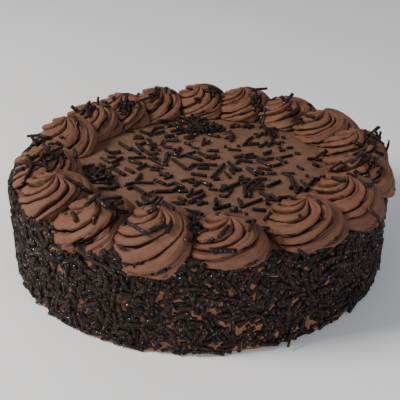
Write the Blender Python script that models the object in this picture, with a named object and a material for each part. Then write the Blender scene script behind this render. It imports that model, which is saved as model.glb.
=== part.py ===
"""A whole round chocolate gateau: a solid, uncut cake coated with chocolate cream, chocolate strands
pressed all over its side and strewn over the middle of its top, and a ring of seventeen piped swirls.

Metres, +Z up. The origin is the middle of the whole cake, on the plane of its flat underside.
"""

import math
import random

import bmesh
import bpy
from mathutils import Matrix, Vector

# The coated cake: a 25 cm gateau about 6 cm high, before the swirls. The ring of swirls was piped a
# little off its middle, so the cake and the ring each stand half of the difference from the origin.
CAKE_RADIUS = 0.1235
CAKE_HEIGHT = 0.0615
EDGE_ROUND = 0.0035
FOOT_ROUND = 0.0010
CAKE_SIDES = 72
EDGE_STEPS = 3
CAKE_PLACE = Vector((-0.0017, 0.0008, 0.0))
RING_PLACE = Vector((0.0017, -0.0008, 0.0))

# The piped swirls: ridged domes from a star nozzle, pressed together round the edge of the top.
CLEARANCE = 0.0003
RING_RADIUS = 0.1030
SWIRL_HEIGHT = 0.0184
SWIRL_HALF_DEPTH = 0.0229
SWIRL_HALF_WIDTH = 0.0218
RIDGES = 9
POINTS_PER_RIDGE = 3
TWIST = math.radians(170)
# Height, half width and groove depth of each ring of a swirl, as fractions, from the foot to the tip.
SWIRL_PROFILE = (
    (0.00, 0.91, 0.05),
    (0.20, 1.00, 0.11),
    (0.44, 0.95, 0.15),
    (0.66, 0.78, 0.18),
    (0.83, 0.54, 0.20),
    (0.95, 0.26, 0.22),
)
TIP_HEIGHT = 1.06
# Each swirl: the angle of its middle round the cake, how far its tip leans round the cake, both in
# degrees, and its tip's extra height in millimetres. The nozzle was held by hand, so no two are alike.
SWIRLS = (
    (234, 1.3, 0.0),
    (255, 1.5, 2.4),
    (277.5, 0.5, -2.6),
    (303, 1.0, 0.3),
    (325, 1.3, 0.4),
    (347, -2.5, 0.4),
    (8, -2.0, 0.6),
    (30.5, 1.0, -1.8),
    (52, 0.0, -2.2),
    (72, 0.5, -0.4),
    (91, 0.5, 0.0),
    (111, -2.0, -0.4),
    (126.5, -0.5, 0.0),
    (143, -1.0, 0.3),
    (162.5, -4.0, 0.0),
    (189, 0.0, 0.0),
    (210, 1.5, 0.0),
)

# The chocolate strands: short rods, the longest of them modelled here.
STRAND_SIDES = 5
STRAND_RADIUS = (0.0010, 0.0014)
STRAND_LENGTH = (0.0080, 0.0135)
STRAND_TAPER = 0.85
STRAND_SHOWS = 0.0003
SIDE_STRANDS = 158
SIDE_BAND = (0.0015, 0.0600)
SIDE_TILT = math.radians(9)
TOP_STRANDS = 58
TOP_REACH = 0.0770
TOP_TILT = math.radians(5)
# Heaps on the top: angle in degrees, distance from the axis, radius of the heap, number of strands.
HEAPS = (
    (92, 0.0690, 0.0120, 12),
    (196, 0.0640, 0.0130, 7),
)
# Strands on the swirls: the swirl's number from 1, and how many lie round its tip.
SWIRL_STRANDS = {1: 4, 2: 2, 3: 2, 4: 1, 6: 2, 7: 4, 9: 2, 10: 3, 11: 1, 12: 2, 13: 2, 14: 2, 16: 5, 17: 2}
SWIRL_STRAND_LENGTH = (0.0070, 0.0095)
SWIRL_STRAND_RING = 3
# Strands that stuck upright in a swirl: the swirl's number, the ring of its outline that they stand on,
# the turn round its tip, the lean from upright and the direction of the lean, all in degrees, and the
# length in millimetres.
STANDING = (
    (7, 5, -36, 6, 180, 11.0),
    (7, 3, 5, 12, 0, 9.0),
    (9, 5, 180, 33, 180, 10.0),
    (9, 5, 10, 42, 0, 13.0),
    (12, 5, -90, 15, 0, 8.5),
    (14, 5, -60, 4, 0, 10.0),
)
STANDING_BURIED = 0.35
GOLDEN_ANGLE = math.pi * (3 - math.sqrt(5))
SEED = 17

# Colours as sRGB values from 0 to 1.
COAT_COLOUR = (0.27, 0.19, 0.16)
CREAM_COLOUR = (0.46, 0.32, 0.25)


def make_material(name, colour, roughness):
    """Principled material of one colour, given as sRGB."""
    material = bpy.data.materials.new(name)
    material.use_nodes = True
    shader = material.node_tree.nodes["Principled BSDF"]
    linear = [((channel + 0.055) / 1.055) ** 2.4 for channel in colour]
    shader.inputs["Base Color"].default_value = (*linear, 1.0)
    shader.inputs["Roughness"].default_value = roughness
    shader.inputs["Metallic"].default_value = 0.0
    return material


def solid_from_rings(name, rings, low_point, high_point):
    """Closed object through rings of equally many points, each counter-clockwise from above, listed
    from low to high, with a fan of triangles to one point at either end."""
    shape = bmesh.new()
    loops = [[shape.verts.new(point) for point in ring] for ring in rings]
    low = shape.verts.new(low_point)
    high = shape.verts.new(high_point)
    count = len(rings[0])
    for here in range(count):
        after = (here + 1) % count
        shape.faces.new((low, loops[0][after], loops[0][here]))
        for below, above in zip(loops, loops[1:]):
            shape.faces.new((below[here], below[after], above[after], above[here]))
        shape.faces.new((loops[-1][here], loops[-1][after], high))
    bmesh.ops.triangulate(shape, faces=shape.faces)
    mesh = bpy.data.meshes.new(name)
    shape.to_mesh(mesh)
    shape.free()
    solid = bpy.data.objects.new(name, mesh)
    bpy.context.scene.collection.objects.link(solid)
    return solid


def make_strand(draw, middle, along, outward, length):
    """One chocolate strand: a tapered rod round its middle, lying along one direction, with one of its
    flat sides turned outward."""
    across = outward.cross(along).normalized()
    upward = along.cross(across).normalized()
    turn = Matrix((across, upward, along.normalized())).transposed().to_4x4()
    radius = draw.uniform(*STRAND_RADIUS)
    shape = bmesh.new()
    bmesh.ops.create_cone(
        shape,
        cap_ends=True,
        segments=STRAND_SIDES,
        radius1=radius,
        radius2=radius * STRAND_TAPER,
        depth=length,
        matrix=Matrix.Translation(middle) @ turn,
    )
    mesh = bpy.data.meshes.new("strand")
    shape.to_mesh(mesh)
    shape.free()
    return bpy.data.objects.new("strand", mesh)


def fuse(solid, pieces):
    """Join the pieces to the solid by one Boolean union on their collection, then remove them."""
    group = bpy.data.collections.new("strands")
    bpy.context.scene.collection.children.link(group)
    for piece in pieces:
        group.objects.link(piece)
    union = solid.modifiers.new("strands", "BOOLEAN")
    union.operation = "UNION"
    union.operand_type = "COLLECTION"
    union.collection = group
    union.solver = "EXACT"
    fused = bpy.data.meshes.new_from_object(solid.evaluated_get(bpy.context.evaluated_depsgraph_get()))
    solid.modifiers.clear()
    fused.name = solid.name
    solid.data = fused
    for piece in pieces:
        bpy.data.objects.remove(piece)
    bpy.data.collections.remove(group)


def move(pieces, place):
    """Move the meshes of the pieces, built round the origin, to a place."""
    for piece in pieces:
        piece.data.transform(Matrix.Translation(place))


def cake_outline():
    """Radius and height of each ring of the coated cake, from the underside to the flat top."""
    outline = [(CAKE_RADIUS - FOOT_ROUND, 0.0), (CAKE_RADIUS, FOOT_ROUND)]
    for step in range(EDGE_STEPS + 1):
        turn = math.pi / 2 * step / EDGE_STEPS
        outline.append((
            CAKE_RADIUS - EDGE_ROUND * (1 - math.cos(turn)),
            CAKE_HEIGHT - EDGE_ROUND * (1 - math.sin(turn)),
        ))
    return outline


def around(radius, angle, height=0.0):
    """Point at a distance from the cake's axis, at an angle and a height."""
    return Vector((radius * math.cos(angle), radius * math.sin(angle), height))


def side_strands(draw):
    """Strands pressed flat against the side in every direction, spread evenly by the golden angle."""
    strands = []
    for number in range(SIDE_STRANDS):
        angle = number * GOLDEN_ANGLE
        length = draw.uniform(*STRAND_LENGTH)
        lie = draw.uniform(0, math.pi)
        tilt = draw.uniform(-SIDE_TILT, SIDE_TILT)
        reach = length / 2 * math.sin(lie) + STRAND_RADIUS[1]
        share = (number + 0.5) / SIDE_STRANDS
        height = SIDE_BAND[0] + reach + share * (SIDE_BAND[1] - SIDE_BAND[0] - 2 * reach)
        outward = around(1.0, angle)
        flat = around(math.cos(lie), angle + math.pi / 2, math.sin(lie))
        along = flat * math.cos(tilt) + outward * math.sin(tilt)
        middle = around(CAKE_RADIUS + STRAND_SHOWS, angle, height)
        strands.append(make_strand(draw, middle, along, outward, length))
    return strands


def lying_strand(draw, angle, distance, lift=0.0):
    """A strand that lies on the flat top in any direction."""
    length = draw.uniform(*STRAND_LENGTH)
    tilt = draw.uniform(-TOP_TILT, TOP_TILT)
    along = around(math.cos(tilt), draw.uniform(0, math.pi), math.sin(tilt))
    middle = around(min(distance, TOP_REACH - length / 2), angle, CAKE_HEIGHT + STRAND_SHOWS + lift)
    return make_strand(draw, middle, along, Vector((0, 0, 1)), length)


def top_strands(draw):
    """Strands strewn over the middle of the top, and the heaps where more of them fell."""
    strands = []
    for number in range(TOP_STRANDS):
        distance = TOP_REACH * math.sqrt((number + 0.5) / TOP_STRANDS)
        strands.append(lying_strand(draw, number * GOLDEN_ANGLE, distance))
    for angle, distance, radius, count in HEAPS:
        heap = around(distance, math.radians(angle))
        for number in range(count):
            place = heap + around(radius * math.sqrt((number + 0.5) / count), number * GOLDEN_ANGLE)
            strands.append(lying_strand(draw, math.atan2(place.y, place.x), place.length))
    return strands


def swirl_wedge(number):
    """The angle of a swirl's middle, and how far its wedge of the cake reaches before and after it."""
    middle = SWIRLS[number][0]
    before = SWIRLS[number - 1][0]
    after = SWIRLS[(number + 1) % len(SWIRLS)][0]
    room_before = math.radians((middle - before) % 360) / 2
    room_after = math.radians((after - middle) % 360) / 2
    return math.radians(middle), room_before, room_after


def swirl_ring(number, height, width, groove):
    """One ring of points of a swirl: broad ridges with narrow grooves between them, kept inside the
    wedge of the cake that the swirl has between its neighbours. Its number turns the first groove, so
    that the grooves of no two swirls line up."""
    angle, room_before, room_after = swirl_wedge(number)
    lean, rise = SWIRLS[number][1:]
    shift = math.radians(lean) * height
    count = RIDGES * POINTS_PER_RIDGE
    points = []
    for index in range(count):
        turn = 2 * math.pi * index / count + TWIST * height + number
        size = width * (1 - groove if index % POINTS_PER_RIDGE == 0 else 1)
        distance = RING_RADIUS + SWIRL_HALF_DEPTH * size * math.cos(turn)
        aside = shift + SWIRL_HALF_WIDTH * size * math.sin(turn) / RING_RADIUS
        edge = CLEARANCE / 2 / distance
        aside = max(edge - room_before, min(room_after - edge, aside))
        level = CAKE_HEIGHT + CLEARANCE + height * (SWIRL_HEIGHT + rise / 1000)
        points.append(around(distance, angle + aside, level))
    return points


def make_swirl(number):
    """One piped swirl, on its own flat foot."""
    middle, lean, rise = SWIRLS[number]
    angle = math.radians(middle)
    rings = [swirl_ring(number, *level) for level in SWIRL_PROFILE]
    foot = around(RING_RADIUS, angle, CAKE_HEIGHT + CLEARANCE)
    tip_height = CAKE_HEIGHT + CLEARANCE + TIP_HEIGHT * (SWIRL_HEIGHT + rise / 1000)
    tip = around(RING_RADIUS, angle + math.radians(lean), tip_height)
    return solid_from_rings(f"swirl_{number + 1:02d}", rings, foot, tip)


def clear_of_neighbours(number, point):
    """Whether a strand's end stays inside its swirl's wedge by more than the strand's radius."""
    angle, room_before, room_after = swirl_wedge(number)
    aside = (math.atan2(point.y, point.x) - angle + math.pi) % (2 * math.pi) - math.pi
    margin = 2 * STRAND_RADIUS[1] / RING_RADIUS
    return margin - room_before < aside < room_after - margin


def swirl_strands(draw, number, count):
    """Strands that fell on a swirl and lie round its tip, down its ridges or across them. One that
    would reach the next swirl is left out."""
    ring = swirl_ring(number, *SWIRL_PROFILE[SWIRL_STRAND_RING])
    above = swirl_ring(number, *SWIRL_PROFILE[SWIRL_STRAND_RING + 1])
    strands = []
    for step in range(count):
        index = int(len(ring) * (step + draw.random()) / count)
        index -= index % POINTS_PER_RIDGE - 1
        down = (ring[index] - above[index]).normalized()
        across = (ring[index + 1] - ring[index]).normalized()
        outward = across.cross(-down).normalized()
        lie = draw.uniform(0, math.pi)
        along = (down * math.sin(lie) + across * math.cos(lie)).normalized()
        middle = (ring[index] + ring[index + 1] + above[index] + above[index + 1]) / 4
        middle += outward * STRAND_SHOWS
        length = draw.uniform(*SWIRL_STRAND_LENGTH)
        ends = (middle + along * length / 2, middle - along * length / 2)
        if all(clear_of_neighbours(number, end) for end in ends):
            strands.append(make_strand(draw, middle, along, outward, length))
    return strands


def standing_strands(draw, number):
    """Strands that stand up from a swirl, each with its foot buried in the cream."""
    strands = []
    for owner, level, turn, lean, azimuth, length in STANDING:
        if owner != number + 1:
            continue
        ring = swirl_ring(number, *SWIRL_PROFILE[level])
        first = TWIST * SWIRL_PROFILE[level][0] + number
        share = (math.radians(turn) - first) / (2 * math.pi)
        foot = ring[round(share * len(ring)) % len(ring)]
        sideways = around(math.sin(math.radians(lean)), math.radians(azimuth))
        along = sideways + Vector((0, 0, math.cos(math.radians(lean))))
        middle = foot + along * length / 1000 * (0.5 - STANDING_BURIED)
        facing = around(1.0, math.radians(azimuth + 90))
        strands.append(make_strand(draw, middle, along, facing, length / 1000))
    return strands


def main():
    for item in list(bpy.data.objects):
        bpy.data.objects.remove(item)
    draw = random.Random(SEED)
    coat = make_material("strand_coated_cream", COAT_COLOUR, 0.55)
    cream = make_material("piped_chocolate_cream", CREAM_COLOUR, 0.62)

    rings = [
        [around(radius, 2 * math.pi * side / CAKE_SIDES, height) for side in range(CAKE_SIDES)]
        for radius, height in cake_outline()
    ]
    cake = solid_from_rings("cake", rings, Vector((0, 0, 0)), Vector((0, 0, CAKE_HEIGHT)))
    on_side = side_strands(draw)
    on_top = top_strands(draw)
    move([cake, *on_side], CAKE_PLACE)
    move(on_top, RING_PLACE)
    fuse(cake, on_side + on_top)
    cake.data.materials.clear()
    cake.data.materials.append(coat)

    for number in range(len(SWIRLS)):
        swirl = make_swirl(number)
        strands = swirl_strands(draw, number, SWIRL_STRANDS.get(number + 1, 0))
        strands += standing_strands(draw, number)
        if strands:
            fuse(swirl, strands)
        move([swirl], RING_PLACE)
        swirl.data.materials.clear()
        swirl.data.materials.append(cream)


main()
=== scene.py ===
import math
import random

import bmesh
import bpy
from mathutils import Matrix, Vector, noise
from mathutils.bvhtree import BVHTree


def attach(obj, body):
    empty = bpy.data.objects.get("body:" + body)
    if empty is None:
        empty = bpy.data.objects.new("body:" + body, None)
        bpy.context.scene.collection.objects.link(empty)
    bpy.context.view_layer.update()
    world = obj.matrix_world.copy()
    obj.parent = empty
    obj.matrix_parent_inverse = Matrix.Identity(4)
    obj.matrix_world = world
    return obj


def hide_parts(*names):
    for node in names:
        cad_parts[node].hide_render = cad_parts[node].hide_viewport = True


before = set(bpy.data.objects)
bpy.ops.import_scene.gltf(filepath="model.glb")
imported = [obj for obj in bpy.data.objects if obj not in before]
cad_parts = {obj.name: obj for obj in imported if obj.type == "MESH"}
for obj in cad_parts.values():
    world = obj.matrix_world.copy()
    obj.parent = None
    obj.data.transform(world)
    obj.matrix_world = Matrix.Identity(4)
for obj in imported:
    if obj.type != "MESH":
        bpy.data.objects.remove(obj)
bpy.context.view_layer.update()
for item in [thing for thing in bpy.data.objects if thing.type in {"CAMERA", "LIGHT"}]:
    bpy.data.objects.remove(item)


# The camera stands in front of the cake and looks down on it at 28 degrees from a little over half a
# metre, through a lens of about 70 mm on a full frame.
AIM_HEIGHT = 0.035
CAMERA_DISTANCE = 0.5449
CAMERA_RISE = math.radians(27.76)
FRAME_PIXELS = 400
FOCAL_PIXELS = 796.8
VIEW_MIDDLE = (201.0, 200.2)

camera_data = bpy.data.cameras.new("camera")
camera_data.sensor_width = 36.0
camera_data.lens = camera_data.sensor_width * FOCAL_PIXELS / FRAME_PIXELS
camera_data.shift_x = (FRAME_PIXELS / 2 - VIEW_MIDDLE[0]) / FRAME_PIXELS
camera_data.shift_y = (VIEW_MIDDLE[1] - FRAME_PIXELS / 2) / FRAME_PIXELS
camera = bpy.data.objects.new("camera", camera_data)
camera.location = (
    0.0,
    -CAMERA_DISTANCE * math.cos(CAMERA_RISE),
    AIM_HEIGHT + CAMERA_DISTANCE * math.sin(CAMERA_RISE),
)
camera.rotation_euler = (math.pi / 2 - CAMERA_RISE, 0.0, 0.0)
bpy.context.scene.collection.objects.link(camera)
bpy.context.scene.camera = camera


# Plain pale studio floor of matt painted board, which sweeps up into a backdrop well behind the cake. Soft
# window light falls from the upper left, with a weaker fill from the front right and from the room.
FLOOR_COLOUR = "#F1F0F0"
FLOOR_SHADE = "#E8E8E8"
FLOOR_HALF = 2.2
FLOOR_DROP = 0.0002
FLOOR_CLOUD = 0.2
SWEEP_START = 1.25
SWEEP_RADIUS = 0.40
SWEEP_STEPS = 12
BACKDROP_HEIGHT = 1.6
ROOM_COLOUR = "#DDE2EA"
ROOM_STRENGTH = 0.44
WINDOW_COLOUR = "#FFF8F0"
WINDOW_POWER = 22.0
WINDOW_SIZE = (0.46, 0.40)
WINDOW_FROM = (-0.98, -0.22, 0.88)
FILL_POWER = 12.5
FILL_SIZE = (1.2, 0.7)
FILL_FROM = (0.45, -1.3, 0.5)


def linear(colour):
    """Linear red, green, blue and alpha of an sRGB colour written as #RRGGBB."""
    values = [int(colour[place:place + 2], 16) / 255 for place in (1, 3, 5)]
    return (*[v / 12.92 if v <= 0.04045 else ((v + 0.055) / 1.055) ** 2.4 for v in values], 1.0)


def add(tree, kind, inputs=(), **settings):
    """Add one node: settings are its own properties, and inputs maps a socket's number or name to a
    value, a node whose first output feeds it, or another node's output."""
    node = tree.nodes.new(kind)
    for name, value in settings.items():
        setattr(node, name, value)
    for socket, value in (inputs.items() if isinstance(inputs, dict) else enumerate(inputs)):
        if isinstance(value, bpy.types.Node):
            tree.links.new(value.outputs[0], node.inputs[socket])
        elif isinstance(value, bpy.types.NodeSocket):
            tree.links.new(value, node.inputs[socket])
        else:
            node.inputs[socket].default_value = value
    return node


def clouds(tree, place, scale, detail=1.0, roughness=0.5):
    """Add soft noise of a scale, read at a place."""
    return add(tree, "ShaderNodeTexNoise", {
        "Vector": place,
        "Scale": scale,
        "Detail": detail,
        "Roughness": roughness,
    })


def mix(tree, share, first, second):
    """Add a mix of two colours by the share of the second, and give the colour that comes out."""
    return add(tree, "ShaderNodeMix", {0: share, 6: first, 7: second}, data_type="RGBA").outputs[2]


def new_material(name):
    """Empty node material with its output node, and the output."""
    material = bpy.data.materials.new(name)
    material.use_nodes = True
    material.node_tree.nodes.clear()
    return material, material.node_tree.nodes.new("ShaderNodeOutputMaterial")


def area_light(name, place, size, power, colour):
    """Soft rectangular light at a place, facing the cake."""
    data = bpy.data.lights.new(name, "AREA")
    data.shape = "RECTANGLE"
    data.size, data.size_y = size
    data.energy = power
    data.color = linear(colour)[:3]
    light = bpy.data.objects.new(name, data)
    light.location = place
    way = Vector((0, 0, AIM_HEIGHT)) - Vector(place)
    light.rotation_euler = way.to_track_quat("-Z", "Y").to_euler()
    bpy.context.scene.collection.objects.link(light)


board, output = new_material("painted backdrop board")
paint = board.node_tree
coordinates = add(paint, "ShaderNodeTexCoord").outputs["Object"]
cloud = clouds(paint, coordinates, 1 / FLOOR_CLOUD, 2.0)
tint = mix(paint, cloud, linear(FLOOR_SHADE), linear(FLOOR_COLOUR))
shader = add(paint, "ShaderNodeBsdfPrincipled", {"Base Color": tint, "Roughness": 0.7})
paint.links.new(shader.outputs[0], output.inputs[0])

sweep = [(-FLOOR_HALF, -FLOOR_DROP), (SWEEP_START, -FLOOR_DROP)]
for step in range(1, SWEEP_STEPS + 1):
    bend = math.pi / 2 * step / SWEEP_STEPS
    sweep.append((
        SWEEP_START + SWEEP_RADIUS * math.sin(bend),
        SWEEP_RADIUS * (1 - math.cos(bend)) - FLOOR_DROP,
    ))
sweep.append((SWEEP_START + SWEEP_RADIUS, BACKDROP_HEIGHT))
floor_mesh = bpy.data.meshes.new("floor")
floor_mesh.from_pydata(
    [(side * FLOOR_HALF, y, z) for y, z in sweep for side in (-1, 1)],
    [],
    [(2 * i, 2 * i + 1, 2 * i + 3, 2 * i + 2) for i in range(len(sweep) - 1)],
)
floor_mesh.shade_smooth()
floor_mesh.materials.append(board)
floor = bpy.data.objects.new("floor", floor_mesh)
bpy.context.scene.collection.objects.link(floor)

area_light("window", WINDOW_FROM, WINDOW_SIZE, WINDOW_POWER, WINDOW_COLOUR)
area_light("fill", FILL_FROM, FILL_SIZE, FILL_POWER, ROOM_COLOUR)
room = bpy.data.worlds.new("room")
room.use_nodes = True
room.node_tree.nodes["Background"].inputs["Color"].default_value = linear(ROOM_COLOUR)
room.node_tree.nodes["Background"].inputs["Strength"].default_value = ROOM_STRENGTH
bpy.context.scene.world = room


# The coat is whipped chocolate cream, spread over the cake with a palette knife: a nearly flat top with
# low waves, a rounded top edge under the swirls, and a side that ends in a ragged foot. The strands hide
# most of its side. It is one closed skin in place of the solid cake.
COAT_RADIUS = 0.1228
COAT_HEIGHT = 0.0615
COAT_EDGE = 0.0045
COAT_SIDES = 640
COAT_SIDE_STEP = 0.0012
COAT_EDGE_STEPS = 6
COAT_TOP_RINGS = 84
COAT_WAVE = 0.0005
COAT_WAVE_LIMIT = 0.0003
BROAD_WAVE = 0.017
FINE_WAVE = 0.0045
COAT_LUMPS = 0.0011
BROAD_LUMP = 0.0055
FINE_LUMP = 0.002
FOOT_ROUND = 0.0008
FOOT_RAGGED = 0.0012
FOOT_BAND = 0.004
FOOT_TEAR = 0.006
COAT_LIGHT = "#71503E"
COAT_DARK = "#5D4131"
# The side's cream is the same cream as the top, painted lighter and more orange: painted light on the cream
# that shows between the strands, where it lies in their shade.
SIDE_LIT_LIGHT = "#8A5C44"
SIDE_LIT_DARK = "#6C4633"
# Painted shade in the cream's air pores.
PORE_PAINTED_SHADE = "#2C1A13"
# Painted shade in the grooves of the swirls.
GROOVE_PAINTED_SHADE = "#1F120D"
MOTTLE_SIZE = 0.009
GRAIN_SIZE = 0.0011


def maths(tree, operation, *values):
    """Add a calculation with up to three values, each a number, a node or a socket."""
    return add(tree, "ShaderNodeMath", values, operation=operation)


def whipped_cream(name, light, dark, pore_spacing, pore_shade):
    """Whipped chocolate cream: matt and soft, faintly mottled, with fine air pores bumped in as small pits
    with painted shade in them, a dry, grainy skin, and a darker painted shade where the attribute says
    groove."""
    material, output = new_material(name)
    tree = material.node_tree
    place = add(tree, "ShaderNodeTexCoord").outputs["Object"]
    mottle = clouds(tree, place, 1 / MOTTLE_SIZE, 4.0, 0.6)
    spread = add(tree, "ShaderNodeMapRange", {0: mottle, 1: 0.32, 2: 0.68})
    tone = mix(tree, spread, linear(dark), linear(light))
    # The pores are bumped in as pits, and painted shade darkens the colour inside them.
    pores = add(tree, "ShaderNodeTexVoronoi", {"Vector": place, "Scale": 1 / pore_spacing})
    pit = add(tree, "ShaderNodeMapRange", {0: pores, 1: 0.06, 2: 0.15})
    open_pit = add(tree, "ShaderNodeMapRange", {0: pit, 3: pore_shade, 4: 0.0})
    pore_shaded = mix(tree, open_pit, tone, linear(PORE_PAINTED_SHADE))
    # Painted shade in the grooves, as strong as the groove attribute says.
    groove = add(tree, "ShaderNodeAttribute", attribute_name="groove")
    groove_shaded = mix(tree, groove.outputs["Fac"], pore_shaded, linear(GROOVE_PAINTED_SHADE))
    grain = clouds(tree, place, 1 / GRAIN_SIZE, 5.0, 0.7)
    relief = maths(tree, "MULTIPLY_ADD", open_pit, -0.6, grain)
    bump = add(tree, "ShaderNodeBump", {"Height": relief, "Distance": 0.0005, "Strength": 0.8})
    shader = add(tree, "ShaderNodeBsdfPrincipled", {
        "Base Color": groove_shaded,
        "Roughness": 0.62,
        "IOR": 1.45,
        "Specular IOR Level": 0.35,
        "Subsurface Weight": 0.12,
        "Subsurface Radius": (1.0, 0.45, 0.28),
        "Subsurface Scale": 0.0012,
        "Normal": bump,
    })
    tree.links.new(shader.outputs[0], output.inputs[0])
    return material


def ring_surface(name, rings, low, high):
    """Closed smooth mesh through rings of points, from low to high, with a fan at each end."""
    shape = bmesh.new()
    loops = [[shape.verts.new(point) for point in ring] for ring in rings]
    bottom = shape.verts.new(low)
    top = shape.verts.new(high)
    count = len(rings[0])
    for here in range(count):
        after = (here + 1) % count
        shape.faces.new((bottom, loops[0][after], loops[0][here]))
        for below, above in zip(loops, loops[1:]):
            shape.faces.new((below[here], below[after], above[after], above[here]))
        shape.faces.new((loops[-1][here], loops[-1][after], top))
    mesh = bpy.data.meshes.new(name)
    shape.to_mesh(mesh)
    shape.free()
    mesh.shade_smooth()
    return mesh


def around(radius, angle, height=0.0):
    """Point at a distance from the cake's axis, at an angle and a height."""
    return Vector((radius * math.cos(angle), radius * math.sin(angle), height))


def coat_outline():
    """Radius and height of the coat from the underside, up the side and in to the middle of the top."""
    outline = [(COAT_RADIUS * share, 0.0) for share in (0.5, 0.9, 0.985)]
    steps = round((COAT_HEIGHT - COAT_EDGE) / COAT_SIDE_STEP)
    rise = COAT_HEIGHT - COAT_EDGE - FOOT_ROUND
    outline += [(COAT_RADIUS, FOOT_ROUND + rise * step / steps) for step in range(steps + 1)]
    for step in range(1, COAT_EDGE_STEPS + 1):
        bend = math.pi / 2 * step / COAT_EDGE_STEPS
        outline.append((
            COAT_RADIUS - COAT_EDGE * (1 - math.cos(bend)),
            COAT_HEIGHT - COAT_EDGE * (1 - math.sin(bend)),
        ))
    inner = COAT_RADIUS - COAT_EDGE
    outline += [(inner * (1 - step / COAT_TOP_RINGS), COAT_HEIGHT) for step in range(1, COAT_TOP_RINGS)]
    return outline


def coat_point(radius, angle, height):
    """A point of the coat: the top has the low waves that the knife left, and the side the lumps that
    rose between the strands as they were pressed in."""
    point = around(radius, angle, height)
    broad = noise.noise(point / BROAD_WAVE) * COAT_WAVE
    wave = broad + noise.noise(point / FINE_WAVE) * COAT_WAVE * 0.35
    if height >= COAT_HEIGHT:
        return point + Vector((0, 0, min(wave, COAT_WAVE_LIMIT)))
    if height > 0:
        lumps = (noise.noise(point / BROAD_LUMP) + noise.noise(point / FINE_LUMP) * 0.4) * COAT_LUMPS
        ragged = max(0.0, 1 - height / FOOT_BAND) * FOOT_RAGGED
        ragged *= noise.noise(point / FOOT_TEAR + Vector((9, 0, 0)))
        return around(radius + wave + lumps + ragged, angle, height)
    return point


CAKE_PLACE = Vector((-0.0017, 0.0008, 0.0))
coat_pores = (0.0038, 0.75)
coat_cream = whipped_cream("whipped chocolate cream, spread", COAT_LIGHT, COAT_DARK, *coat_pores)
# The side faces get the copy of the cream with painted light.
side_cream_painted_lit = whipped_cream("whipped chocolate cream, side painted lighter", SIDE_LIT_LIGHT, SIDE_LIT_DARK, *coat_pores)
coat_rings = [
    [coat_point(radius, 2 * math.pi * side / COAT_SIDES, height) for side in range(COAT_SIDES)]
    for radius, height in coat_outline()
]
coat_mesh = ring_surface("cream_coat", coat_rings, Vector((0, 0, 0)), Vector((0, 0, COAT_HEIGHT)))
coat_mesh.transform(Matrix.Translation(CAKE_PLACE))
coat_mesh.materials.append(coat_cream)
coat_mesh.materials.append(side_cream_painted_lit)
for face in coat_mesh.polygons:
    face.material_index = int(face.center.z < COAT_HEIGHT - COAT_EDGE)
coat = bpy.data.objects.new("cream_coat", coat_mesh)
bpy.context.scene.collection.objects.link(coat)
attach(coat, "root")
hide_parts("cake")


# The swirls are the same whipped cream, piped from a star nozzle that was turned and lifted: a mound of
# six to twelve broad bands that leave the tip straight, bend round the shoulder and wind down the side,
# each with its lower edge over the next. They are pressed together round the edge of the top.
SWIRL_FOOT = 0.0618
SWIRL_HEIGHT = 0.0200
RING_RADIUS = 0.1030
RING_PLACE = (0.0017, -0.0008, 0.0)
SWIRL_HALF_DEPTH = 0.0229
SWIRL_HALF_WIDTH = 0.0218
SWIRL_COLUMNS = 360
SWIRL_ROWS = 80
GROOVE_DEPTH = 0.0052
GROOVE_SHADE = 0.95
EDGE_HANG = 0.0007
EDGE_TEAR = 0.0020
SKIN_TEAR = 0.00035
TEAR_SIZE = 0.0018
ROOM_SHARED = 0.004
ROOM_BLEND = 0.02
BAND_WANDER = 1.7
BAND_WAVES = 0.6
BAND_EDGE = 0.9
BAND_EDGE_REACH = 0.16
BAND_FULLNESS = (0.80, 1.12)
LOBE_SWELL = 0.16
SEED_STEP = 3.7
HANG_FROM = 0.1150
HANG_TO = 0.1260
SQUARENESS = 0.55
INSIDE_LOW = (-0.1270, -0.1252, 0.0003)
INSIDE_HIGH = (0.1265, 0.1262, 0.0869)
CREAM_LIGHT = "#6F4936"
CREAM_DARK = "#603C2B"
# Place along the outline from the middle of the foot to the tip, and there the half width, the height
# and the depth of the grooves, each as a share of the whole.
SWIRL_OUTLINE = (
    (0.00, 0.00, 0.00, 0.00),
    (0.07, 0.95, 0.00, 0.30),
    (0.13, 1.00, 0.05, 0.80),
    (0.24, 1.00, 0.17, 1.00),
    (0.40, 0.96, 0.36, 1.00),
    (0.56, 0.84, 0.58, 1.00),
    (0.70, 0.65, 0.76, 0.95),
    (0.83, 0.41, 0.89, 0.80),
    (0.93, 0.19, 0.96, 0.50),
    (1.00, 0.00, 1.00, 0.00),
)
# Place along the same outline, and the share of the twist left above it.
TWIST_SPREAD = (
    (0.00, 1.00),
    (0.07, 0.98),
    (0.24, 0.82),
    (0.40, 0.64),
    (0.56, 0.44),
    (0.70, 0.24),
    (0.83, 0.09),
    (0.93, 0.03),
    (1.00, 0.00),
)
# Place across one band from its upper edge to its lower one, and how far it stands out of the groove.
BAND_SECTION = (
    (0.00, 0.00),
    (0.09, 0.00),
    (0.17, 0.44),
    (0.33, 0.74),
    (0.66, 0.93),
    (0.90, 1.00),
    (0.955, 0.84),
    (1.00, 0.00),
)
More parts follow.
